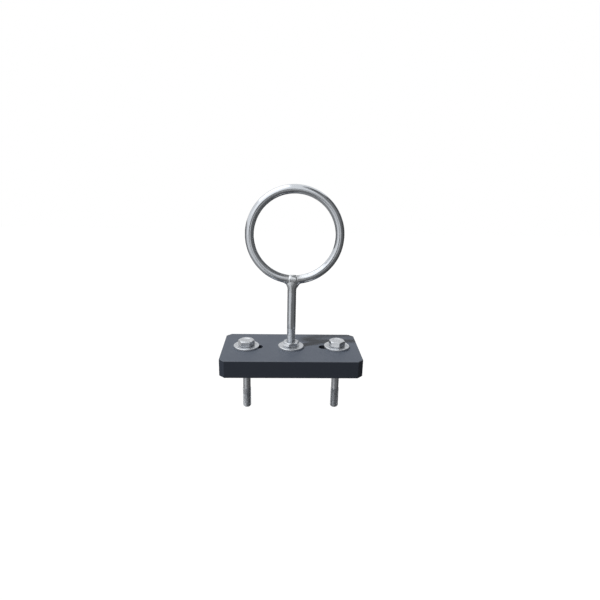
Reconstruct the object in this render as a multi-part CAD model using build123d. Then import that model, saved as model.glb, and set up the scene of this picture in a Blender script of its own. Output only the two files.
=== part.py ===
from build123d import *

import os
from math import asin, atan2, cos, degrees, pi, radians, sin, sqrt, tan

# Battery lifting beam: a welded ring on a threaded shank carries a plastic plate, and two bolts hang
# through the plate's slots, where they slide to set their spacing.
# Millimetres, +Z up, +X along the plate. The origin is on the shank's axis, level with the ring's inside
# crown, by which the beam hangs.

# Ring and shank
ring_inner_diameter = 90.0
ring_bar_diameter = 10.0
ring_offset = 2.2  # from the shank's axis to the ring's centre, along +X
ring_butt_gap = 2.0  # between the two ends of the bent bar, filled with weld metal
shank_diameter = 10.0
shank_reach = 77.0  # from the plate's top face up to the ring's lowest point
shank_cope_depth = 2.5  # how far the shank's hollowed end reaches up round the ring
shank_end_proud = 2.5  # thread left standing out below the lock nut
shank_end_chamfer = 1.0

# Weld between ring and shank
weld_fillet_radius = 5.0  # of the hollow corners beside the shank
weld_toe = 0.3  # thickness of the weld's lower edge on the shank
weld_build_up = 0.6  # how far the weld stands proud of the ring's bar
weld_collar_width = 9.0  # along the ring
weld_sections = 6

# Plate
plate_depth = 85.0
plate_thickness = 20.0
plate_corner_cut = 6.0  # on the four upright corners
plate_edge_break = 0.4  # on the top and bottom edges
slot_end_wall = 16.5  # from a slot's outer end to the plate's end

# Hanging bolts and their travel along the slots
bolt_spacing = 106.8
bolt_shift = 1.0  # how far along +X both bolts happen to stand from their even places
bolt_travel_inward = 15.0  # from the even places
bolt_travel_outward = 4.6
bolt_diameter = 10.0  # outside the thread
bolt_length = 80.0  # under the head
bolt_thread_length = 26.0
bolt_neck_step = 0.5  # how far the plain neck lies inside the thread, on the radius
bolt_tip_chamfer = 1.2
bolt_head_height = 6.4
bolt_across_flats = 17.0

# Washers and nuts
washer_outer_diameter = 30.0
washer_thickness = 2.5
washer_edge_round = 0.4
nut_across_flats = 17.0
jam_nut_height = 5.0
lock_nut_hex_height = 7.0
lock_nut_wall = 1.0  # round the locking ring
lock_nut_lip = 0.8  # thickness of the rim rolled in under the locking ring
lock_nut_lip_overlap = 0.7
insert_wall = 1.5
insert_height = 2.2

# Hexagon corners, cut by a flat cone that leaves a round face
hex_chamfer_angle = 30.0  # degrees
hex_face_share = 0.95  # the round face over the across-flats size

# How the hexagons happen to be turned, in degrees about +Z, from a flat that faces the front
left_bolt_turn = -4.7
right_bolt_turn = -18.0
jam_nut_turn = 15.0
lock_nut_turn = 0.0

# Clearances, on the radius
thread_clearance = 0.05
insert_clearance = 0.05
washer_clearance = 0.25
slot_clearance = 0.5
shank_hole_clearance = 0.5

# Worked out
ring_bar_radius = ring_bar_diameter / 2
ring_inner_radius = ring_inner_diameter / 2
ring_centreline_radius = ring_inner_radius + ring_bar_radius
ring_outer_radius = ring_centreline_radius + ring_bar_radius
ring_centre_z = -ring_inner_radius
ring_lowest_z = ring_centre_z - ring_outer_radius
shank_radius = shank_diameter / 2
bolt_radius = bolt_diameter / 2

# Where the shank's axis meets the ring: the middle of its bar and its underside
joint_angle = degrees(asin(ring_offset / ring_centreline_radius))
joint_z = ring_centre_z - sqrt(ring_centreline_radius**2 - ring_offset**2)
joint_underside_z = ring_centre_z - sqrt(ring_outer_radius**2 - ring_offset**2)

plate_top_z = ring_lowest_z - shank_reach
plate_bottom_z = plate_top_z - plate_thickness
washer_top_z = plate_top_z + washer_thickness
lower_washer_bottom_z = plate_bottom_z - washer_thickness
lock_nut_height = lock_nut_hex_height + insert_height + lock_nut_lip
nut_bore_radius = shank_radius + thread_clearance
insert_outer_radius = nut_bore_radius + insert_wall
shank_end_z = lower_washer_bottom_z - lock_nut_height - shank_end_proud

bolt_x = bolt_spacing / 2
slot_width = bolt_diameter + 2 * slot_clearance
slot_length = bolt_travel_inward + bolt_travel_outward + slot_width
slot_middle_x = bolt_x + (bolt_travel_outward - bolt_travel_inward) / 2
plate_length = 2 * (slot_middle_x + slot_length / 2 + slot_end_wall)


def rod(radius, bottom_z, top_z):
    # Upright round bar on the Z axis
    upward = (Align.CENTER, Align.CENTER, Align.MIN)
    return Pos(0, 0, bottom_z) * Cylinder(radius, top_z - bottom_z, align=upward)


def tipped_rod(radius, bottom_z, top_z, tip_chamfer):
    # Upright round bar with its lower end broken by a cone
    bar = rod(radius, bottom_z, top_z)
    return chamfer(bar.edges().group_by(Axis.Z)[0], tip_chamfer)


def bent_bar(bar_radius, start_angle, arc):
    # Bar bent round the ring's centre, with angles about +Y counted from where the shank joins the ring
    centre = Axis((ring_offset, 0, ring_centre_z), (0, 1, 0))
    lowest = Plane((ring_offset, 0, ring_centre_z - ring_centreline_radius), (0, 1, 0), (1, 0, 0))
    bar = revolve(lowest * Circle(bar_radius), centre, arc)
    return bar.rotate(centre, joint_angle + start_angle)


def ring_angle(width):
    # The turn about the ring's centre that spans a width along its bar
    return degrees(2 * asin(width / 2 / ring_centreline_radius))


def hexagon(across_flats, bottom_z, height, turn, both_ends):
    # Hexagonal block, with the corners of its top, or of both its ends, cut by a cone
    corner_radius = across_flats / 2 / cos(pi / 6)
    cut = corner_radius - across_flats * hex_face_share / 2
    drop = cut * tan(radians(hex_chamfer_angle))
    envelope = rod(corner_radius, 0, height)
    side = envelope.faces().filter_by(GeomType.CYLINDER)[0]
    rims = envelope.edges().filter_by(GeomType.CIRCLE).sort_by(Axis.Z)
    envelope = chamfer(rims if both_ends else rims[-1], drop, cut, reference=side)
    outline = RegularPolygon(across_flats / 2, 6, major_radius=False, rotation=turn)
    return Pos(0, 0, bottom_z) * (extrude(outline, height) & envelope)


def washer(hole_radius, bottom_z):
    # Large flat washer, its upper rim rounded by the punch
    top_z = bottom_z + washer_thickness
    disc = rod(washer_outer_diameter / 2, bottom_z, top_z)
    disc = fillet(disc.edges().group_by(Axis.Z)[-1], washer_edge_round)
    return disc - rod(hole_radius, bottom_z, top_z)


def make_plate():
    # Flat plate with cut corners, a hole for the shank and a slot for each bolt
    outline = Rectangle(plate_length, plate_depth)
    outline = chamfer(outline.vertices(), plate_corner_cut)
    plate = Pos(0, 0, plate_bottom_z) * extrude(outline, plate_thickness)
    levels = plate.edges().filter_by(Plane.XY).group_by(Axis.Z)
    plate = chamfer(levels[0] + levels[-1], plate_edge_break)
    plate -= rod(shank_radius + shank_hole_clearance, plate_bottom_z, plate_top_z)
    slot = extrude(SlotOverall(slot_length, slot_width), plate_thickness)
    for side in (-1, 1):
        plate -= Pos(side * slot_middle_x, 0, plate_bottom_z) * slot
    return plate


def make_shank():
    # Round bar, hollowed on top to sit on the ring
    top_z = joint_underside_z + shank_cope_depth
    bar = tipped_rod(shank_radius, shank_end_z, top_z, shank_end_chamfer)
    return bar - bent_bar(ring_bar_radius, 0, 360)


def make_weld(ring, shank):
    # Weld metal: a collar round the closed ring and a skirt that spreads from the shank to the ring.
    # In the ring's plane the skirt follows an arc that touches the shank's side and the ring's underside.
    arc_x = shank_radius + weld_fillet_radius
    arc_depth = sqrt((ring_outer_radius + weld_fillet_radius) ** 2 - arc_x**2)
    arc_z = joint_underside_z + ring_outer_radius - arc_depth
    last_angle = atan2(arc_depth, -arc_x)
    sections = []
    for step in range(weld_sections):
        share = step / (weld_sections - 1)
        angle = pi + (last_angle - pi) * share
        half_x = arc_x + weld_fillet_radius * cos(angle) + weld_toe
        half_y = shank_radius + weld_toe + (weld_build_up - weld_toe) * share
        z = arc_z + weld_fillet_radius * sin(angle)
        sections.append(Pos(0, 0, z) * Ellipse(half_x, half_y))
    skirt = loft(sections)
    skirt += extrude(sections[-1], joint_z - z)
    collar_arc = ring_angle(weld_collar_width)
    collar = bent_bar(ring_bar_radius + weld_build_up, -collar_arc / 2, collar_arc)
    return skirt + collar - ring - shank


def make_bolt(turn):
    # Hexagon bolt on the Z axis, its head resting on a washer and its thread below a thinner plain neck
    tip_z = washer_top_z - bolt_length
    thread_top_z = tip_z + bolt_thread_length
    thread = tipped_rod(bolt_radius, tip_z, thread_top_z, bolt_tip_chamfer)
    thread = chamfer(thread.edges().group_by(Axis.Z)[-1], bolt_neck_step)
    head = hexagon(bolt_across_flats, washer_top_z, bolt_head_height, turn, False)
    return head + rod(bolt_radius - bolt_neck_step, thread_top_z, washer_top_z) + thread


def make_jam_nut():
    # Thin nut that clamps the plate from above
    nut = hexagon(nut_across_flats, washer_top_z, jam_nut_height, jam_nut_turn, True)
    return nut - rod(nut_bore_radius, washer_top_z, washer_top_z + jam_nut_height)


def make_lock_nut():
    # Hexagon against the lower washer, and below it a round wall rolled in under the locking ring
    hex_bottom_z = lower_washer_bottom_z - lock_nut_hex_height
    bottom_z = lower_washer_bottom_z - lock_nut_height
    seat_radius = insert_outer_radius + insert_clearance
    nut = hexagon(nut_across_flats, hex_bottom_z, lock_nut_hex_height, lock_nut_turn, True)
    nut += rod(seat_radius + lock_nut_wall, bottom_z, hex_bottom_z)
    nut -= rod(nut_bore_radius, hex_bottom_z, lower_washer_bottom_z)
    nut -= rod(seat_radius, bottom_z + lock_nut_lip, hex_bottom_z)
    return nut - rod(seat_radius - lock_nut_lip_overlap, bottom_z, bottom_z + lock_nut_lip)


def make_insert():
    # Locking ring that grips the shank's thread
    bottom_z = lower_washer_bottom_z - lock_nut_hex_height - insert_height
    ring = rod(insert_outer_radius, bottom_z, bottom_z + insert_height)
    return ring - rod(nut_bore_radius, bottom_z, bottom_z + insert_height)


butt_angle = ring_angle(ring_butt_gap)
lifting_ring = bent_bar(ring_bar_radius, butt_angle / 2, 360 - butt_angle)
ring_shank = make_shank()

pieces = {
    "lifting_ring": lifting_ring,
    "ring_shank": ring_shank,
    "ring_weld": make_weld(lifting_ring, ring_shank),
    "beam_plate": make_plate(),
    "shank_upper_washer": washer(shank_radius + washer_clearance, plate_top_z),
    "shank_jam_nut": make_jam_nut(),
    "shank_lower_washer": washer(shank_radius + washer_clearance, lower_washer_bottom_z),
    "shank_lock_nut": make_lock_nut(),
    "lock_nut_insert": make_insert(),
}
for side_name, side, turn in (("left", -1, left_bolt_turn), ("right", 1, right_bolt_turn)):
    place = Pos(side * bolt_x + bolt_shift, 0, 0)
    pieces[side_name + "_bolt_washer"] = place * washer(bolt_radius + washer_clearance, plate_top_z)
    pieces[side_name + "_terminal_bolt"] = place * make_bolt(turn)

os.makedirs("parts", exist_ok=True)
for node, solid in pieces.items():
    export_step(solid, f"parts/{node}.step")
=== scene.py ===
import bpy
import numpy as np
from mathutils import Matrix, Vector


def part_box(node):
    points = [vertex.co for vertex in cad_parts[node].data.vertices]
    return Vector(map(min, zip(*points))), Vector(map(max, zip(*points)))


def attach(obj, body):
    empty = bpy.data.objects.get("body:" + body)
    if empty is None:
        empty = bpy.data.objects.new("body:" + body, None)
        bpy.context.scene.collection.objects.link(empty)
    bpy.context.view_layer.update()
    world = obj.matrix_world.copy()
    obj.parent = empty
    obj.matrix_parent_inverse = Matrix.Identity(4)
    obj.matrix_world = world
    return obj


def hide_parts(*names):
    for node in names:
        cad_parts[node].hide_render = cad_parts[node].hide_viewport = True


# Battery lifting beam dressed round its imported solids. Lengths are in millimetres, or in metres where a
# heading says so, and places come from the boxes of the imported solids.
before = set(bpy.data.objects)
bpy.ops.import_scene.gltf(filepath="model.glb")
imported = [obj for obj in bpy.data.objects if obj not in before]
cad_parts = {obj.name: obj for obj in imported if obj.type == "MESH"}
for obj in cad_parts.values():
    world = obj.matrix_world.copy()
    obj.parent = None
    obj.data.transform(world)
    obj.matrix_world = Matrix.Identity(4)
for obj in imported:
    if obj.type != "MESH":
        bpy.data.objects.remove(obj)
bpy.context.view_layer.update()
mm = 0.001
fullTurn = 2 * np.pi
print("frame loaded:", len(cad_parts), "nodes")


# Mesh making

def solidBox(node):
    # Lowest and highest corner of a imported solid, in millimetres
    low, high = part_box(node)
    return np.array(low) / mm, np.array(high) / mm


def addPiece(name, grid, body, node, finish, closeRows=False, caps=(), sharpAngle=32.0):
    # A grid of points (rows along, columns round) becomes quads between neighbours. Columns always close
    # into a ring, rows close where asked, and each cap is a fan from an end row to one point.
    rows, cols = grid.shape[:2]
    rowAt = np.arange(rows if closeRows else rows - 1)[:, None]
    colAt = np.arange(cols)[None, :]
    rowNext = (rowAt + 1) % rows
    colNext = (colAt + 1) % cols
    corners = (rowAt * cols + colAt, rowAt * cols + colNext,
               rowNext * cols + colNext, rowNext * cols + colAt)
    quads = np.stack(np.broadcast_arrays(*corners), -1).reshape(-1, 4)
    points = grid.reshape(-1, 3)
    faces = quads.tolist()
    uv = [np.stack(np.broadcast_arrays(
        np.stack([colAt, colAt + 1, colAt + 1, colAt], -1) / cols,
        np.stack([rowAt, rowAt, rowAt + 1, rowAt + 1], -1) / (rows - 1)), -1).reshape(-1, 2)]
    ends = ((0, colAt[0], colNext[0]), (rows - 1, colNext[0], colAt[0]))
    for cap, (row, first, second) in zip(caps, ends):
        middle = np.full(cols, len(points))
        points = np.vstack([points, cap])
        faces += np.stack([middle, row * cols + second, row * cols + first], -1).tolist()
        fanU = np.stack([colAt[0] + 0.5, colAt[0] + 1, colAt[0]], -1) / cols
        uv.append(np.stack([fanU, np.full((cols, 3), row / (rows - 1))], -1).reshape(-1, 2))
    a, b, c, d = (points[quads[:, k]] for k in range(4))
    volume = np.sum(a * np.cross(b, c)) + np.sum(a * np.cross(c, d))
    mesh = bpy.data.meshes.new(name)
    mesh.from_pydata(points * mm, [], faces)
    mesh.uv_layers.new(name="along").data.foreach_set("uv", np.vstack(uv).ravel())
    if volume < 0:
        mesh.flip_normals()
    mesh.shade_smooth()
    mesh.set_sharp_from_angle(angle=np.radians(sharpAngle))
    mesh.materials.append(finish)
    piece = bpy.data.objects.new(name, mesh)
    bpy.context.scene.collection.objects.link(piece)
    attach(piece, body)
    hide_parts(node)
    print("made", name, len(faces), "faces")
    return piece


def roundAxis(radius, height, theta, axisX):
    # Rows of points round an upright axis: x and y from radius and direction, z from height
    radius, height, theta = np.broadcast_arrays(radius, height, theta)
    return np.stack([axisX + radius * np.cos(theta), radius * np.sin(theta), height], -1)


def evenTheta(cols):
    return np.linspace(0, fullTurn, cols, endpoint=False)[None, :]


def smoothStep(value):
    # Nought below 0, one above 1, and an S between
    share = np.clip(value, 0, 1)
    return share * share * (3 - 2 * share)


# Finishes, with lengths in metres

def newFinish(name):
    material = bpy.data.materials.new(name)
    material.use_nodes = True
    nodes = material.node_tree.nodes
    return material, nodes, material.node_tree.links, nodes["Principled BSDF"]


def stretchedNoise(nodes, links, source, size, detail, stretch=(1, 1, 1), roughness=0.55):
    # Noise on coordinates that are first stretched by a factor for each axis
    mapping = nodes.new("ShaderNodeMapping")
    mapping.inputs["Scale"].default_value = stretch
    noise = nodes.new("ShaderNodeTexNoise")
    noise.inputs["Scale"].default_value = size
    noise.inputs["Detail"].default_value = detail
    noise.inputs["Roughness"].default_value = roughness
    links.new(source, mapping.inputs["Vector"])
    links.new(mapping.outputs["Vector"], noise.inputs["Vector"])
    return noise.outputs["Fac"]


def spread(nodes, links, value, fromLow, fromHigh, toLow, toHigh):
    # A ramp from one range to another, level beyond its ends. The looks below give these four numbers.
    remap = nodes.new("ShaderNodeMapRange")
    ends = {"From Min": fromLow, "From Max": fromHigh, "To Min": toLow, "To Max": toHigh}
    for socket, number in ends.items():
        remap.inputs[socket].default_value = number
    links.new(value, remap.inputs["Value"])
    return remap.outputs["Result"]


def colourMix(nodes, links, share, first, second):
    # Between two colours, each a plain colour or a socket
    mix = nodes.new("ShaderNodeMix")
    mix.data_type = "RGBA"
    links.new(share, mix.inputs["Factor"])
    for socket, colour in ((mix.inputs[6], first), (mix.inputs[7], second)):
        if isinstance(colour, tuple):
            socket.default_value = (*colour, 1)
        else:
            links.new(colour, socket)
    return mix.outputs[2]


def combine(nodes, links, first, second, kind="ADD"):
    total = nodes.new("ShaderNodeMath")
    total.operation = kind
    for socket, value in zip(total.inputs, (first, second)):
        if isinstance(value, (int, float)):
            socket.default_value = value
        else:
            links.new(value, socket)
    return total.outputs["Value"]


def bumpUp(nodes, links, shader, height, strength, distance):
    bump = nodes.new("ShaderNodeBump")
    bump.inputs["Strength"].default_value = strength
    bump.inputs["Distance"].default_value = distance
    links.new(height, bump.inputs["Height"])
    links.new(bump.outputs["Normal"], shader.inputs["Normal"])


plateLook = {
    "dark": (0.062, 0.075, 0.100),
    "light": (0.084, 0.098, 0.124),
    # painted shade: a darker colour for the upright faces than for the top
    "sideShadePaint": (0.024, 0.031, 0.046),
    "worn": (0.15, 0.16, 0.18),
    "cloud": {"size": 45.0, "detail": 4.0},
    "grain": {"size": 1500.0, "detail": 3.0},
    "cutter": {"size": 1400.0, "detail": 2.0, "stretch": (1, 1, 0.02)},
    "scuff": {"size": 420.0, "detail": 5.0, "stretch": (0.12, 1.6, 1), "roughness": 0.7},
    "uprightRamp": (0.2, 0.5, 1, 0),
    "offUprightRamp": (0.35, 0.6, 0, 1),
    "offLevelRamp": (0.8, 0.95, 1, 0),
    "wearRamp": (0.35, 0.6, 0.15, 0.6),
    "scratchRamp": (0.64, 0.74, 0, 0.22),
    "roughRamp": (0.25, 0.75, 0.48, 0.62),
    "edgeRough": 0.8,
    "gloss": 0.4,
    "bump": (0.5, 0.00004),
}


def platePlastic(look):
    # Grey sheet plastic: cloudy colour, fine grain, pale broken edges; upright edges with cutter lines and
    # painted shade
    material, nodes, links, shader = newFinish("platePlastic")
    place = nodes.new("ShaderNodeTexCoord").outputs["Object"]
    cloud = stretchedNoise(nodes, links, place, **look["cloud"])
    grain = stretchedNoise(nodes, links, place, **look["grain"])
    cutter = stretchedNoise(nodes, links, place, **look["cutter"])
    scuff = stretchedNoise(nodes, links, place, **look["scuff"])
    split = nodes.new("ShaderNodeSeparateXYZ")
    links.new(nodes.new("ShaderNodeNewGeometry").outputs["True Normal"], split.inputs["Vector"])
    flat = nodes.new("ShaderNodeMath")
    flat.operation = "ABSOLUTE"
    links.new(split.outputs["Z"], flat.inputs[0])
    level = flat.outputs["Value"]
    upright = spread(nodes, links, level, *look["uprightRamp"])
    slanted = combine(nodes, links, spread(nodes, links, level, *look["offUprightRamp"]),
                      spread(nodes, links, level, *look["offLevelRamp"]), "MULTIPLY")
    edgeWear = combine(nodes, links, slanted, spread(nodes, links, grain, *look["wearRamp"]), "MULTIPLY")
    scratches = combine(nodes, links, spread(nodes, links, scuff, *look["scratchRamp"]), edgeWear)
    sheet = colourMix(nodes, links, cloud, look["dark"], look["light"])
    # Painted shade: the upright faces take a darker colour than the top
    sheetWithSideShade = colourMix(nodes, links, upright, sheet, look["sideShadePaint"])
    links.new(colourMix(nodes, links, scratches, sheetWithSideShade, look["worn"]), shader.inputs["Base Color"])
    sheen = spread(nodes, links, grain, *look["roughRamp"])
    dulled = combine(nodes, links, upright, look["edgeRough"], "MULTIPLY")
    links.new(combine(nodes, links, sheen, dulled, "MAXIMUM"), shader.inputs["Roughness"])
    marks = combine(nodes, links, cutter, upright, "MULTIPLY")
    bumpUp(nodes, links, shader, combine(nodes, links, grain, marks), *look["bump"])
    shader.inputs["Specular IOR Level"].default_value = look["gloss"]
    return material


barLook = {
    "bright": (0.62, 0.65, 0.69),
    "dull": (0.50, 0.525, 0.56),
    "heated": (0.42, 0.425, 0.43),
    "lines": {"size": 1.0, "detail": 3.0, "stretch": (44, 5, 1), "roughness": 0.5},
    "cloud": {"size": 190.0, "detail": 4.0},
    "speck": {"size": 1600.0, "detail": 2.0},
    "heatRamp": (0.008, 0.017, 0.6, 0),
    "lineRamp": (0.35, 0.75, 0, 0.35),
    "speckRamp": (0.62, 0.75, 0, 0.2),
    "roughRamp": (0.3, 0.7, 0.12, 0.20),
    "bump": (0.2, 0.00004),
}


def barSteel(look, joint):
    # Bright drawn bar: fine lines along it from the die, cloudy gloss, and a duller stretch beside the weld
    material, nodes, links, shader = newFinish("barSteel")
    coords = nodes.new("ShaderNodeTexCoord")
    place = coords.outputs["Object"]
    lines = stretchedNoise(nodes, links, coords.outputs["UV"], **look["lines"])
    cloud = stretchedNoise(nodes, links, place, **look["cloud"])
    speck = stretchedNoise(nodes, links, place, **look["speck"])
    reach = nodes.new("ShaderNodeVectorMath")
    reach.operation = "DISTANCE"
    reach.inputs[1].default_value = joint
    links.new(place, reach.inputs[0])
    heat = spread(nodes, links, reach.outputs["Value"], *look["heatRamp"])
    dull = combine(nodes, links, spread(nodes, links, lines, *look["lineRamp"]),
                   spread(nodes, links, speck, *look["speckRamp"]))
    colour = colourMix(nodes, links, dull, look["bright"], look["dull"])
    links.new(colourMix(nodes, links, heat, colour, look["heated"]), shader.inputs["Base Color"])
    links.new(spread(nodes, links, cloud, *look["roughRamp"]), shader.inputs["Roughness"])
    bumpUp(nodes, links, shader, lines, *look["bump"])
    shader.inputs["Metallic"].default_value = 1.0
    return material


fastenerLook = {
    "bright": (0.62, 0.645, 0.68),
    "dull": (0.44, 0.455, 0.475),
    "firstWay": {"size": 1300.0, "detail": 3.0, "stretch": (1, 0.16, 1), "roughness": 0.7},
    "otherWay": {"size": 1100.0, "detail": 3.0, "stretch": (0.16, 1, 1), "roughness": 0.7},
    "mottle": {"size": 330.0, "detail": 3.0},
    "smudge": {"size": 150.0, "detail": 3.0},
    "scratchRamp": (0.9, 1.35, 0, 0.7),
    "smudgeRamp": (0.48, 0.66, 0, 0.6),
    "roughRamp": (0.75, 1.25, 0.20, 0.40),
    "metal": 0.86,
    "bump": (0.14, 0.00006),
}


def fastenerSteel(look):
    # Zinc plate, a little chalky, tumbled in a drum: short scratches each way, duller smudges, small dents
    material, nodes, links, shader = newFinish("fastenerSteel")
    place = nodes.new("ShaderNodeTexCoord").outputs["Object"]
    firstWay = stretchedNoise(nodes, links, place, **look["firstWay"])
    otherWay = stretchedNoise(nodes, links, place, **look["otherWay"])
    mottle = stretchedNoise(nodes, links, place, **look["mottle"])
    smudge = stretchedNoise(nodes, links, place, **look["smudge"])
    scratch = combine(nodes, links, firstWay, otherWay)
    dull = combine(nodes, links, spread(nodes, links, scratch, *look["scratchRamp"]),
                   spread(nodes, links, smudge, *look["smudgeRamp"]))
    links.new(colourMix(nodes, links, dull, look["bright"], look["dull"]), shader.inputs["Base Color"])
    gloss = combine(nodes, links, mottle, smudge)
    links.new(spread(nodes, links, gloss, *look["roughRamp"]), shader.inputs["Roughness"])
    bumpUp(nodes, links, shader, combine(nodes, links, scratch, mottle), *look["bump"])
    shader.inputs["Metallic"].default_value = look["metal"]
    return material


weldLook = {
    "bright": (0.62, 0.645, 0.67),
    "soot": (0.30, 0.30, 0.30),
    "blotch": {"size": 380.0, "detail": 4.0},
    "pits": {"size": 1500.0, "detail": 3.0},
    "blotchRamp": (0.58, 0.8, 0, 0.5),
    "pitRamp": (0.62, 0.78, 0, 0.4),
    "roughRamp": (0.3, 0.7, 0.20, 0.32),
    "bump": (0.1, 0.00005),
}


def weldSteel(look):
    # Weld metal brushed bright, with oxide left in its hollows
    material, nodes, links, shader = newFinish("weldSteel")
    place = nodes.new("ShaderNodeTexCoord").outputs["Object"]
    blotch = stretchedNoise(nodes, links, place, **look["blotch"])
    pits = stretchedNoise(nodes, links, place, **look["pits"])
    soot = combine(nodes, links, spread(nodes, links, blotch, *look["blotchRamp"]),
                   spread(nodes, links, pits, *look["pitRamp"]))
    links.new(colourMix(nodes, links, soot, look["bright"], look["soot"]), shader.inputs["Base Color"])
    links.new(spread(nodes, links, blotch, *look["roughRamp"]), shader.inputs["Roughness"])
    bumpUp(nodes, links, shader, pits, *look["bump"])
    shader.inputs["Metallic"].default_value = 1.0
    return material


insertLook = {
    "pale": (0.62, 0.63, 0.60),
    "yellowed": (0.55, 0.53, 0.46),
    "patch": {"size": 500.0, "detail": 3.0},
    "roughRamp": (0.3, 0.7, 0.35, 0.5),
    "bump": (0.3, 0.00005),
}


def insertPlastic(look):
    # Milky nylon, a little yellowed in patches
    material, nodes, links, shader = newFinish("insertPlastic")
    place = nodes.new("ShaderNodeTexCoord").outputs["Object"]
    patch = stretchedNoise(nodes, links, place, **look["patch"])
    links.new(colourMix(nodes, links, patch, look["pale"], look["yellowed"]), shader.inputs["Base Color"])
    links.new(spread(nodes, links, patch, *look["roughRamp"]), shader.inputs["Roughness"])
    bumpUp(nodes, links, shader, patch, *look["bump"])
    return material


# Ring

ringForm = {
    "gap": 2.0, "oval": 0.04, "waver": 0.025, "sway": 0.03, "rows": 420, "cols": 40,
    "waverWaves": ((5, 1.0, 0.6), (11, 0.7, 2.1), (23, 0.4, 0.0)), "swayWaves": ((7, 1.0, 1.3),),
}

ringLow, ringHigh = solidBox("lifting_ring")
shankLow, shankHigh = solidBox("ring_shank")
shankX = (shankLow[0] + shankHigh[0]) / 2
shankRadius = (shankHigh[0] - shankLow[0]) / 2
barRadius = (ringHigh[1] - ringLow[1]) / 2
ringRadius = (ringHigh[0] - ringLow[0]) / 2 - barRadius  # to the middle of the bar
ringX = (ringLow[0] + ringHigh[0]) / 2
ringZ = ringHigh[2] - barRadius - ringRadius
jointAngle = np.arcsin((ringX - shankX) / ringRadius)  # where the shank's axis meets the ring
jointZ = ringZ - ringRadius * np.cos(jointAngle)

plateFinish = platePlastic(plateLook)
barFinish = barSteel(barLook, (shankX * mm, 0, jointZ * mm))
fastenerFinish = fastenerSteel(fastenerLook)
weldFinish = weldSteel(weldLook)
insertFinish = insertPlastic(insertLook)
print("finishes made")


def sumWaves(along, waves):
    # Sines added up, each from its number of waves round, its size and its phase
    return sum(size * np.sin(count * along + phase) for count, size, phase in waves)


def makeRing(form):
    # A circle carried round a larger circle. The angle along the ring is counted from where the shank joins
    # it. The bar wavers a little from hand bending, and is pressed slightly oval by the bend.
    gapAngle = form["gap"] / ringRadius
    along = np.linspace(gapAngle / 2, fullTurn - gapAngle / 2, form["rows"])[:, None]
    around = evenTheta(form["cols"])
    waver = form["waver"] * sumWaves(along, form["waverWaves"])
    sway = form["sway"] * sumWaves(along, form["swayWaves"])
    out = (barRadius - form["oval"]) * np.cos(around)
    side = (barRadius + form["oval"]) * np.sin(around)
    reach = ringRadius + waver + out
    turn = along + jointAngle
    x = ringX - reach * np.sin(turn)
    z = ringZ - reach * np.cos(turn)
    grid = np.stack(np.broadcast_arrays(x, side + sway, z), -1)
    ends = grid[[0, -1]].mean(1)
    return addPiece("liftingRing", grid, "beam", "lifting_ring", barFinish, caps=ends)


makeRing(ringForm)


# Threads

threadForm = {
    "pitch": 1.5, "crestShare": 0.125, "crestRound": 0.0, "flankAngle": np.radians(30), "depth": 0.9,
    "rowsPerTurn": 16, "clearance": 0.04, "fadeTurns": 1.5,
}


def threadRadius(crest, z, theta, form):
    # Crest radius less the groove: a flat or rounded crest, then 30 degree flanks down to a flat root. The
    # groove climbs one pitch in one turn, right handed.
    phase = (z / form["pitch"] - theta / fullTurn) % 1.0
    fromCrest = np.abs(phase - 0.5) * form["pitch"]
    groove = (fromCrest - form["crestShare"] * form["pitch"] / 2) / np.tan(form["flankAngle"])
    return crest - form["crestRound"] * fromCrest ** 2 - np.clip(groove, 0, form["depth"])


def threadedRod(theta, bareRadius, outerRadius, top, bottom, tipChamfer, form):
    # Rows down a thread that fades in from the bare bar and ends in a cone
    count = int((top - bottom) / form["pitch"] * form["rowsPerTurn"])
    z = np.linspace(top, bottom, count)[:, None]
    fadeIn = smoothStep((top - z) / (form["fadeTurns"] * form["pitch"]))
    crest = outerRadius - form["clearance"]
    radius = bareRadius + (threadRadius(crest, z, theta, form) - bareRadius) * fadeIn
    cone = crest - tipChamfer + (z - bottom)
    return np.minimum(radius, cone), np.broadcast_to(z, radius.shape)


# Shank

shankForm = {
    "threadAboveNut": 18.0, "tipChamfer": 1.0, "waver": 0.015, "rowGap": 0.2, "barRows": 60, "cols": 72,
}
shankThread = {**threadForm, "crestShare": 0.66, "crestRound": 0.7, "depth": 0.45, "fadeTurns": 2.0}

jamLow, jamHigh = solidBox("shank_jam_nut")


def makeShank(form):
    # A plain bar above and a thread below, as one lathe surface whose radius also turns with the helix. The
    # bar wavers down its length, once plainly and once in a twist. The top ends in the ring's bar.
    theta = evenTheta(form["cols"])
    threadTop = jamHigh[2] + form["threadAboveNut"]
    barZ = np.linspace(jointZ, threadTop + form["rowGap"], form["barRows"])[:, None]
    wave = np.sin(barZ * 0.35) + 0.7 * np.sin(barZ * 0.9 + 2 * theta)
    plainRadius = shankRadius + form["waver"] * wave
    cutRadius, cutZ = threadedRod(theta, shankRadius, shankRadius, threadTop, shankLow[2],
                                  form["tipChamfer"], shankThread)
    radius = np.vstack([plainRadius, cutRadius])
    height = np.vstack([np.broadcast_to(barZ, plainRadius.shape), cutZ])
    grid = roundAxis(radius, height, theta, shankX)
    caps = ((shankX, 0, jointZ), (shankX, 0, shankLow[2]))
    return addPiece("ringShank", grid, "beam", "ring_shank", barFinish, caps=caps)


makeShank(shankForm)


# Weld

weldForm = {
    "beadHalf": 3.7, "beadShift": 0.8, "buildUp": 0.45, "sink": 0.4, "skirtUp": 0.25, "skirtLength": 10.5,
    "feather": 0.3, "blend": 8.5, "rise": 6.0, "reach": 14.5, "ripple": 0.025, "ripplePitch": 1.3,
    "rippleLean": 0.3, "lump": 0.07, "drop": (6.2, -1.6, -7.2), "dropSize": 2.3, "dropUp": 0.8,
    "rows": 170, "cols": 180, "steps": 26, "sharpAngle": 70.0,
}


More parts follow.
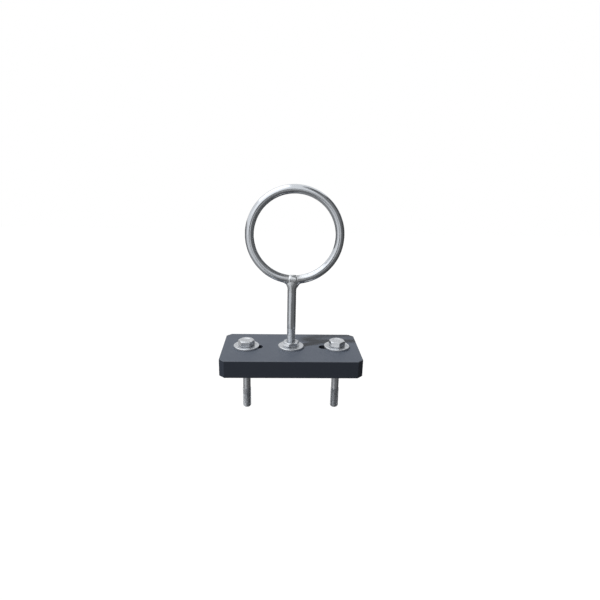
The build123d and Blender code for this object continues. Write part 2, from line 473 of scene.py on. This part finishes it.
def weldDepth(point, form):
    # How far a point lies outside the weld. Round the ring's bar lies a bead, half an ellipse high across
    # its width; down the shank's bar lies a thin skirt. Beyond both the skin sinks into the bars. A soft
    # minimum joins the two into hollow corners, least where the bars face the same way, with a drop in the
    # right one, fine ripples and a few lumps.
    x, y, z = point[..., 0] - shankX, point[..., 1], point[..., 2]
    down = jointZ - z
    across = np.abs(x - form["beadShift"]) / form["beadHalf"]
    bead = form["buildUp"] * np.sqrt(np.clip(1 - across**2, 0, None))
    bead -= form["sink"] * smoothStep((across - 1) / form["feather"])
    skirt = form["skirtUp"] * (1 - (down / form["skirtLength"]) ** 2)
    lumps = form["lump"] * np.sin(0.9 * x + 1.2 * y + 0.4) * np.sin(0.8 * z + 0.7 * y + 1.1)
    ringLine = np.hypot(x + shankX - ringX, z - ringZ) - ringRadius
    fromRing, fromShank = np.hypot(ringLine, y), np.hypot(x, y)
    toRing = fromRing - barRadius - bead - lumps
    toShank = np.maximum(fromShank - shankRadius - np.clip(skirt, -0.5, 2), -down)
    outX = ringLine * (x + shankX - ringX) / (ringLine + ringRadius)
    sameWay = (outX * x + y * y) / np.clip(fromRing * fromShank, 0.01, None)
    corner = np.clip(1 - sameWay, 0, 1) * smoothStep(1 + down / form["rise"])
    near = np.clip(form["blend"] - np.abs(toRing - toShank), 0, None) / form["blend"]
    offDrop = np.linalg.norm(np.stack([x, y, -down], -1) - form["drop"], axis=-1) / form["dropSize"]
    rippleAt = (down + form["rippleLean"] * np.abs(x)) / form["ripplePitch"]
    ripples = form["ripple"] * np.sin(fullTurn * rippleAt)
    fill = corner * (near**2 * form["blend"] / 4 + ripples) + form["dropUp"] * np.exp(-offDrop**2)
    return np.minimum(toRing, toShank) - fill


def makeWeld(form):
    # Seen from the joint, the bead's skin lies at one distance in each direction. It is found by halving
    # steps along the ray, and stops inside the bars at the reach. The poles lie inside the ring's bar.
    tilt = np.linspace(0, np.pi, form["rows"] + 2)[1:-1, None]
    swing = evenTheta(form["cols"])
    ray = np.stack(np.broadcast_arrays(
        np.cos(tilt), np.sin(tilt) * np.cos(swing), np.sin(tilt) * np.sin(swing)), -1)
    joint = np.array([shankX, 0.0, jointZ])
    low = np.zeros(ray.shape[:2])
    high = np.full(ray.shape[:2], form["reach"])
    for step in range(form["steps"]):
        middle = (low + high) / 2
        inside = weldDepth(joint + ray * middle[..., None], form) < 0
        low = np.where(inside, middle, low)
        high = np.where(inside, high, middle)
    grid = joint + ray * low[..., None]
    caps = grid[[0, -1]].mean(1)
    return addPiece("ringWeld", grid, "beam", "ring_weld", weldFinish, caps=caps,
                    sharpAngle=form["sharpAngle"])


makeWeld(weldForm)


# Hexagons

hexForm = {
    "acrossFlats": 17.0, "cornerRound": 0.35, "faceShare": 0.95, "coneAngle": np.radians(30), "bevel": 0.18,
    "faceDrop": 0.03, "colsPerSide": 16, "cornerCrowd": 0.88,
}


def hexTheta(turn, form):
    # Directions round a hexagon, close together at the rounded corners: within each side an even share is
    # bent by its own cube, so that most directions fall near the corner
    share = np.linspace(-1, 1, form["colsPerSide"], endpoint=False)
    crowd = form["cornerCrowd"]
    offsets = np.pi / 6 * ((1 - crowd) * share + crowd * share**3)
    corners = np.radians(turn) + np.arange(6) * np.pi / 3
    return (corners[:, None] + offsets[None, :]).reshape(1, -1)


def hexRadius(theta, turn, form):
    # Radius of a hexagon in a direction: half the across-flats size over the cosine from the nearest flat,
    # and at a corner an arc that touches both flats
    half = form["acrossFlats"] / 2
    bend = form["cornerRound"]
    off = (theta - np.radians(turn) + np.pi / 6) % (np.pi / 3) - np.pi / 6
    flat = half / np.cos(np.pi / 6 - np.abs(off))
    middle = (half - bend) / np.cos(np.pi / 6)
    arc = middle * np.cos(off) + np.sqrt(np.clip(bend**2 - (middle * np.sin(off)) ** 2, 0, None))
    touch = np.arctan2(bend * 0.5, middle + bend * np.cos(np.pi / 6))
    return np.where(np.abs(off) < touch, arc, flat)


def hexEnd(theta, turn, endZ, inward, form):
    # Rows from the round end face to the flats: a flat cone trims the corners, so its edge on the flats
    # swings up and down with the hexagon's radius. inward is the way from the end into the block.
    hexagon = hexRadius(theta, turn, form)
    face = form["acrossFlats"] * form["faceShare"] / 2
    slope = np.tan(form["coneAngle"])
    bevel = form["bevel"]
    edge = (hexagon - face) * slope
    ones = np.ones_like(theta)
    radius = [face - bevel, face, face + bevel, hexagon - bevel, hexagon - 0.25 * bevel, hexagon]
    depth = [0, form["faceDrop"], bevel * slope, edge - bevel * slope, edge + 0.05 * bevel, edge + bevel]
    return np.vstack([r * ones for r in radius]), np.vstack([endZ + inward * d * ones for d in depth])


# Bolts

boltForm = {
    "neck": 4.5, "threadRadius": 5.0, "threadLength": 26.0, "tipChamfer": 1.2, "filletSize": 0.5,
    "filletRows": 5, "seatWidth": 15.6, "seatHeight": 0.45, "underBevel": 0.12, "dishDepth": 0.6,
    "dishRim": (4.3, 6.5), "dishStep": 0.6, "dishRows": 14, "neckGap": 1.0, "neckWaver": 0.012,
    "neckRows": 30, "rowGap": 0.2,
}
boltTurns = {"left": -4.7, "right": -18.0}


def makeBolt(side, turn, form):
    # One lathe surface from the middle of the head's top to the tip. The head is forged with a shallow dish
    # that rises to a rim, its sides follow the hexagon, and the thread's rows follow the helix.
    low, high = solidBox(side + "_terminal_bolt")
    axisX = (low[0] + high[0]) / 2
    under = solidBox(side + "_bolt_washer")[1][2]
    theta = hexTheta(turn, hexForm)
    ones = np.ones_like(theta)
    rimInner, rimOuter = form["dishRim"]
    dishStep, dishDepth = form["dishStep"], form["dishDepth"]
    dishRadius = np.linspace(dishStep, rimOuter + dishStep, form["dishRows"])[:, None]
    rise = smoothStep((dishRadius - rimInner) / (rimOuter - rimInner))
    dishZ = high[2] - dishDepth * (1 - rise)
    endRadius, endZ = hexEnd(theta, turn, high[2], -1, hexForm)
    hexagon = hexRadius(theta, turn, hexForm)
    bevel = form["underBevel"]
    seat = form["seatWidth"] / 2
    seatZ = under + form["seatHeight"]
    fillet = form["filletSize"]
    bend = np.linspace(0, np.pi / 2, form["filletRows"])[:, None]
    filletRadius = form["neck"] + fillet * (1 - np.sin(bend))
    filletZ = under - fillet * (1 - np.cos(bend))
    threadTop = low[2] + form["threadLength"]
    neckTop = under - fillet - form["neckGap"]
    neckZ = np.linspace(neckTop, threadTop + form["rowGap"], form["neckRows"])[:, None]
    neckRadius = form["neck"] + form["neckWaver"] * np.sin(neckZ / 2)
    cutRadius, cutZ = threadedRod(theta, form["neck"], form["threadRadius"], threadTop, low[2],
                                  form["tipChamfer"], threadForm)
    radii = [dishRadius, endRadius, hexagon, hexagon - bevel, seat, seat,
             filletRadius, neckRadius, cutRadius]
    heights = [dishZ, endZ, seatZ + bevel, seatZ, seatZ, under, filletZ, neckZ, cutZ]
    radius = np.vstack([r * ones for r in radii])
    height = np.vstack([h * ones for h in heights])
    grid = roundAxis(radius, height, theta, axisX)
    caps = ((axisX, 0, high[2] - dishDepth), (axisX, 0, low[2]))
    return addPiece(side + "Bolt", grid, side + "_bolt", side + "_terminal_bolt",
                    fastenerFinish, caps=caps)


for side, turn in boltTurns.items():
    makeBolt(side, turn, boltForm)


# Washers

washerForm = {
    "hole": 5.25, "edge": 0.15, "rollWidth": 1.3, "rollDrop": 0.6, "rollRows": 9, "rollGap": 0.5,
    "holeGap": 0.4, "faceRows": 9, "warp": 0.05, "warpFrom": 2.5, "warpOver": 4.0, "cols": 96,
}
washerPlaces = {
    "leftWasher": {"body": "left_washer", "node": "left_bolt_washer", "phase": 0.4},
    "rightWasher": {"body": "right_washer", "node": "right_bolt_washer", "phase": 2.0},
    "upperWasher": {"body": "beam", "node": "shank_upper_washer", "phase": 1.1},
    "lowerWasher": {"body": "beam", "node": "shank_lower_washer", "phase": 3.3},
}


def makeWasher(name, place, form):
    # A closed profile turned about the axis: the upper rim rolled over by the punch in a quarter ellipse,
    # broken edges elsewhere. The upper face is warped a little, twice round, and fades to flat at the hole.
    low, high = solidBox(place["node"])
    axisX = (low[0] + high[0]) / 2
    outer = (high[0] - low[0]) / 2
    top = high[2] - low[2]
    theta = evenTheta(form["cols"])
    hole, edge = form["hole"], form["edge"]
    bend = np.linspace(0, np.pi / 2, form["rollRows"])
    rollRadius = outer - form["rollWidth"] * (1 - np.cos(bend))
    rollZ = top - form["rollDrop"] * (1 - np.sin(bend))
    faceOuter = outer - form["rollWidth"] - form["rollGap"]
    faceRadius = np.linspace(faceOuter, hole + form["holeGap"], form["faceRows"])
    faceZ = np.full(form["faceRows"], top)
    radius = np.concatenate([[outer - edge, outer], rollRadius, faceRadius,
                             [hole + edge, hole, hole, hole + edge]])[:, None]
    height = np.concatenate([[0, edge], rollZ, faceZ, [top, top - edge, edge, 0]])[:, None]
    fromHole = (radius - hole - form["warpFrom"]) / form["warpOver"]
    upper = smoothStep(fromHole) * (height >= top - form["rollDrop"])
    warp = form["warp"] * upper * (np.sin(2 * theta + place["phase"]) - 1)
    grid = roundAxis(radius, low[2] + height + warp, theta, axisX)
    return addPiece(name, grid, place["body"], place["node"], fastenerFinish,
                    closeRows=True)


for name, place in washerPlaces.items():
    makeWasher(name, place, washerForm)


# Nuts

nutForm = {"bore": 5.03, "sink": 5.45}
jamForm = {**nutForm, "turn": 15.0}


def makeJamNut(form):
    # Hexagon turned about the axis, both ends trimmed by a cone, with a sunk bore
    theta = hexTheta(form["turn"], hexForm)
    ones = np.ones_like(theta)
    bottom, top = jamLow[2], jamHigh[2]
    upRadius, upZ = hexEnd(theta, form["turn"], top, -1, hexForm)
    downRadius, downZ = hexEnd(theta, form["turn"], bottom, 1, hexForm)
    sinkDepth = form["sink"] - form["bore"]
    boreRadius = np.array([form["sink"], form["bore"], form["bore"], form["sink"]])[:, None] * ones
    boreZ = np.array([bottom, bottom + sinkDepth, top - sinkDepth, top])[:, None] * ones
    radius = np.vstack([upRadius, downRadius[::-1], boreRadius])
    height = np.vstack([upZ, downZ[::-1], boreZ])
    grid = roundAxis(radius, height, theta, shankX)
    return addPiece("jamNut", grid, "beam", "shank_jam_nut", fastenerFinish,
                    closeRows=True)


makeJamNut(jamForm)

lockForm = {
    **nutForm, "turn": 0.0, "hexHeight": 7.0, "wall": 1.0, "play": 0.05, "lip": 0.8, "lipOverlap": 0.7,
    "lipRows": 5,
}


def makeLockNut(form):
    # Hexagon above, a round collar below whose rim is rolled in under the locking ring
    low, high = solidBox("shank_lock_nut")
    insertLow, insertHigh = solidBox("lock_nut_insert")
    theta = hexTheta(form["turn"], hexForm)
    ones = np.ones_like(theta)
    hexBottom = high[2] - form["hexHeight"]
    lipTop = low[2] + form["lip"]
    seat = (insertHigh[0] - insertLow[0]) / 2 + form["play"]
    collar = seat + form["wall"]
    lipHole = seat - form["lipOverlap"]
    upRadius, upZ = hexEnd(theta, form["turn"], high[2], -1, hexForm)
    downRadius, downZ = hexEnd(theta, form["turn"], hexBottom, 1, hexForm)
    bend = np.linspace(0, np.pi / 2, form["lipRows"])
    rollRadius = collar - form["lip"] * (1 - np.cos(bend))
    rollZ = low[2] + form["lip"] * (1 - np.sin(bend))
    bore, sink = form["bore"], form["sink"]
    radii = np.concatenate([[collar], rollRadius, [lipHole, lipHole, seat, seat, bore, bore, sink]])
    heights = np.concatenate([[hexBottom], rollZ, [low[2], lipTop, lipTop, hexBottom, hexBottom,
                                                   high[2] - (sink - bore), high[2]]])
    radius = np.vstack([upRadius, downRadius[::-1], radii[:, None] * ones])
    height = np.vstack([upZ, downZ[::-1], heights[:, None] * ones])
    grid = roundAxis(radius, height, theta, shankX)
    return addPiece("lockNut", grid, "beam", "shank_lock_nut", fastenerFinish,
                    closeRows=True)


makeLockNut(lockForm)


# Solids that keep their shape

for node, finish in (("beam_plate", plateFinish), ("lock_nut_insert", insertFinish)):
    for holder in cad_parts[node].material_slots:
        holder.material = finish
print("plate and locking ring finished")


# Floor, light and cards, in metres

stageForm = {
    "floorZ": -0.85, "floorHalf": 6.0, "skyForEyes": 1.0, "skyForLight": 0.16,
    "floorGlow": 0.72, "floorWhite": 0.30, "floorForLight": 0.10,
}


def seenByEye(nodes, links):
    # One for camera, mirror and clear rays, nought for light that scatters
    path = nodes.new("ShaderNodeLightPath")
    seen = combine(nodes, links, path.outputs["Is Camera Ray"], path.outputs["Is Glossy Ray"], "MAXIMUM")
    return combine(nodes, links, seen, path.outputs["Is Transmission Ray"], "MAXIMUM")


def flatPanel(name, low, high):
    # Four corners of an upright or level rectangle: the two axes in which low and high differ span it
    low, high = np.array(low, float), np.array(high, float)
    spanA, spanB = np.flatnonzero(low != high)
    corners = np.repeat(low[None, :], 4, 0)
    corners[1:3, spanA] = high[spanA]
    corners[2:4, spanB] = high[spanB]
    mesh = bpy.data.meshes.new(name)
    mesh.from_pydata(corners, [], [(0, 1, 2, 3)])
    paint = bpy.data.materials.new(name + "Paint")
    paint.use_nodes = True
    paint.node_tree.nodes.clear()
    mesh.materials.append(paint)
    panel = bpy.data.objects.new(name, mesh)
    bpy.context.scene.collection.objects.link(panel)
    return panel, paint.node_tree.nodes, paint.node_tree.links


def makeStage(form):
    # White all round for eyes and mirrors, fainter for the light that scatters. The floor also takes shade.
    world = bpy.data.worlds.new("studio")
    bpy.context.scene.world = world
    world.use_nodes = True
    nodes, links = world.node_tree.nodes, world.node_tree.links
    strength = spread(nodes, links, seenByEye(nodes, links), 0, 1, form["skyForLight"], form["skyForEyes"])
    links.new(strength, nodes["Background"].inputs["Strength"])
    nodes["Background"].inputs["Color"].default_value = (1, 1, 1, 1)
    half, level = form["floorHalf"], form["floorZ"]
    floor, nodes, links = flatPanel("floor", (-half, -half, level), (half, half, level))
    glow = nodes.new("ShaderNodeEmission")
    matt = nodes.new("ShaderNodeBsdfDiffuse")
    both = nodes.new("ShaderNodeAddShader")
    eye = seenByEye(nodes, links)
    strength = spread(nodes, links, eye, 0, 1, form["floorForLight"], form["floorGlow"])
    links.new(strength, glow.inputs["Strength"])
    matt.inputs["Color"].default_value = (form["floorWhite"],) * 3 + (1,)
    links.new(glow.outputs["Emission"], both.inputs[0])
    links.new(matt.outputs["BSDF"], both.inputs[1])
    links.new(both.outputs["Shader"], nodes.new("ShaderNodeOutputMaterial").inputs["Surface"])


makeStage(stageForm)

lampForm = {"from": (-0.474, -0.20, 0.857), "strength": 3.4, "softness": np.radians(5.0)}


def makeLamp(form):
    # One distant lamp from the upper left, a little in front
    data = bpy.data.lights.new("keyLamp", "SUN")
    data.energy = form["strength"]
    data.angle = form["softness"]
    lamp = bpy.data.objects.new("keyLamp", data)
    bpy.context.scene.collection.objects.link(lamp)
    back = np.array(form["from"]) / np.linalg.norm(form["from"])
    side = np.cross([0, 0, 1], back)
    side /= np.linalg.norm(side)
    columns = np.column_stack([side, np.cross(back, side), back, [0, 0, 1]])
    lamp.matrix_world = Matrix(np.vstack([columns, [0, 0, 0, 1]]).tolist())
    lamp.visible_glossy = False  # metal mirrors the key card instead


makeLamp(lampForm)

patchZ = solidBox("shank_upper_washer")[1][2] * mm + 0.0001  # a hair above the washers
cardForm = {
    "lowFrontCard": {"low": (-0.16, -0.45, -0.59), "high": (1.30, -0.45, -0.24), "shade": 0.18},
    "lowMiddleFrontCard": {"low": (-0.10, -0.45, -0.24), "high": (0.03, -0.45, -0.11), "shade": 0.56},
    "lowRightFrontCard": {"low": (0.03, -0.45, -0.24), "high": (1.30, -0.45, -0.16), "shade": 0.16},
    "middleFrontCard": {"low": (-0.14, -0.45, -0.11), "high": (0.02, -0.45, 0.03), "shade": 0.10},
    "paleFrontCard": {"low": (-0.19, -0.47, -0.17), "high": (0.23, -0.47, 0.08), "shade": 0.72},
    "leftLowFrontCard": {"low": (-0.70, -0.46, -0.59), "high": (-0.10, -0.46, -0.13), "shade": 0.78},
    "rightFrontCard": {"low": (0.22, -0.45, -0.16), "high": (1.30, -0.45, 0.05), "shade": 0.18},
    "upperFrontCard": {"low": (0.18, -0.45, 0.05), "high": (1.30, -0.45, 1.00), "shade": 0.25},
    "rightCard": {"low": (1.30, -0.45, -0.59), "high": (1.30, 5.00, 0.12), "shade": 0.08},
    "upperRightCard": {"low": (1.30, -0.45, 0.12), "high": (1.30, 1.40, 1.35), "shade": 0.10},
    "topRightCard": {"low": (1.30, -1.20, 1.35), "high": (1.30, 0.20, 6.00), "shade": 0.08},
    "flagUnder": {"low": (0.004, -0.015, -0.046), "high": (0.020, 0.070, -0.046), "shade": 0.14},
    "flagTop": {"low": (0.004, -0.015, -0.045), "high": (0.020, 0.070, -0.045), "shade": 0.30},
    "leftPatch": {"low": (-0.080, -0.006, patchZ), "high": (-0.060, 0.016, patchZ), "shade": 0.62,
                  "clearBelow": True},
    "middlePatch": {"low": (-0.022, -0.018, patchZ), "high": (-0.006, 0.002, patchZ), "shade": 1.2,
                    "clearBelow": True},
    "rightPatch": {"low": (0.034, -0.032, patchZ), "high": (0.054, -0.007, patchZ), "shade": 0.95,
                   "clearBelow": True},
    "lowerCard": {"low": (0.00, -0.45, -0.59), "high": (1.30, 3.00, -0.59), "shade": 0.08},
    "belowCard": {"low": (-0.34, -0.45, -0.59), "high": (0.00, 3.00, -0.59), "shade": 0.20},
    "lowerLeftCard": {"low": (-1.00, -0.45, -0.59), "high": (-0.34, 3.00, -0.59), "shade": 0.36},
    "leftCard": {"low": (-1.00, 0.08, -0.59), "high": (-1.00, 2.50, 0.10), "shade": 0.22},
    "leftFrontCard": {"low": (-1.00, -0.40, -0.59), "high": (-1.00, 0.08, 0.02), "shade": 0.45},
    "brightFrontCard": {"low": (-1.75, -1.10, 0.30), "high": (-0.20, -1.10, 1.70), "shade": 1.45},
    "keyCard": {"low": (-2.20, -1.10, 1.70), "high": (-0.20, 1.60, 1.70), "shade": 2.0},
    "backCard": {"low": (-2.50, 1.60, 0.00), "high": (2.50, 1.60, 1.20), "shade": 0.78},
}


def upperSideOnly(nodes, links, shader):
    # The shader on the upper side, and nothing for rays from below
    clear = nodes.new("ShaderNodeBsdfTransparent")
    mix = nodes.new("ShaderNodeMixShader")
    links.new(nodes.new("ShaderNodeNewGeometry").outputs["Backfacing"], mix.inputs["Fac"])
    links.new(shader, mix.inputs[1])
    links.new(clear.outputs["BSDF"], mix.inputs[2])
    return mix.outputs["Shader"]


def makeCards(form):
    # Plain light and dark cards for the bright metal to mirror: large ones all round, two flags inside the
    # ring, and small patches above the washers. Nothing else sees them, and they cast no shade.
    for name, card in form.items():
        panel, nodes, links = flatPanel(name, card["low"], card["high"])
        glow = nodes.new("ShaderNodeEmission")
        glow.inputs["Strength"].default_value = card["shade"]
        surface = glow.outputs["Emission"]
        if card.get("clearBelow"):
            surface = upperSideOnly(nodes, links, surface)
        links.new(surface, nodes.new("ShaderNodeOutputMaterial").inputs["Surface"])
        panel.visible_camera = False
        panel.visible_shadow = False
        panel.visible_diffuse = False


makeCards(cardForm)


# Camera, in millimetres

cameraForm = {
    "place": (-11.99, -491.5, 24.66), "pitch": 0.28416, "yaw": 0.04375, "roll": 0.02301,
    "focalPixels": 446.0, "framePixels": 600.0, "sensor": 36.0, "clipStart": 10.0,
}


def makeCamera(form):
    # Yaw turns the view about the upright, pitch tips it down, roll turns the picture
    cosPitch, sinPitch = np.cos(form["pitch"]), np.sin(form["pitch"])
    cosYaw, sinYaw = np.cos(form["yaw"]), np.sin(form["yaw"])
    cosRoll, sinRoll = np.cos(form["roll"]), np.sin(form["roll"])
    ahead = np.array([sinYaw * cosPitch, cosYaw * cosPitch, -sinPitch])
    right = np.array([cosYaw, -sinYaw, 0.0])
    up = np.cross(right, ahead)
    data = bpy.data.cameras.new("camera")
    data.sensor_fit = "HORIZONTAL"
    data.sensor_width = form["sensor"]
    data.lens = form["focalPixels"] / form["framePixels"] * form["sensor"]
    data.clip_start = form["clipStart"] * mm
    camera = bpy.data.objects.new("camera", data)
    bpy.context.scene.collection.objects.link(camera)
    columns = np.column_stack([cosRoll * right + sinRoll * up, cosRoll * up - sinRoll * right, -ahead,
                               np.array(form["place"]) * mm])
    camera.matrix_world = Matrix(np.vstack([columns, [0, 0, 0, 1]]).tolist())
    bpy.context.scene.camera = camera


makeCamera(cameraForm)
bpy.context.scene.view_settings.view_transform = "Standard"
print("stage, lamp, cards and camera set")
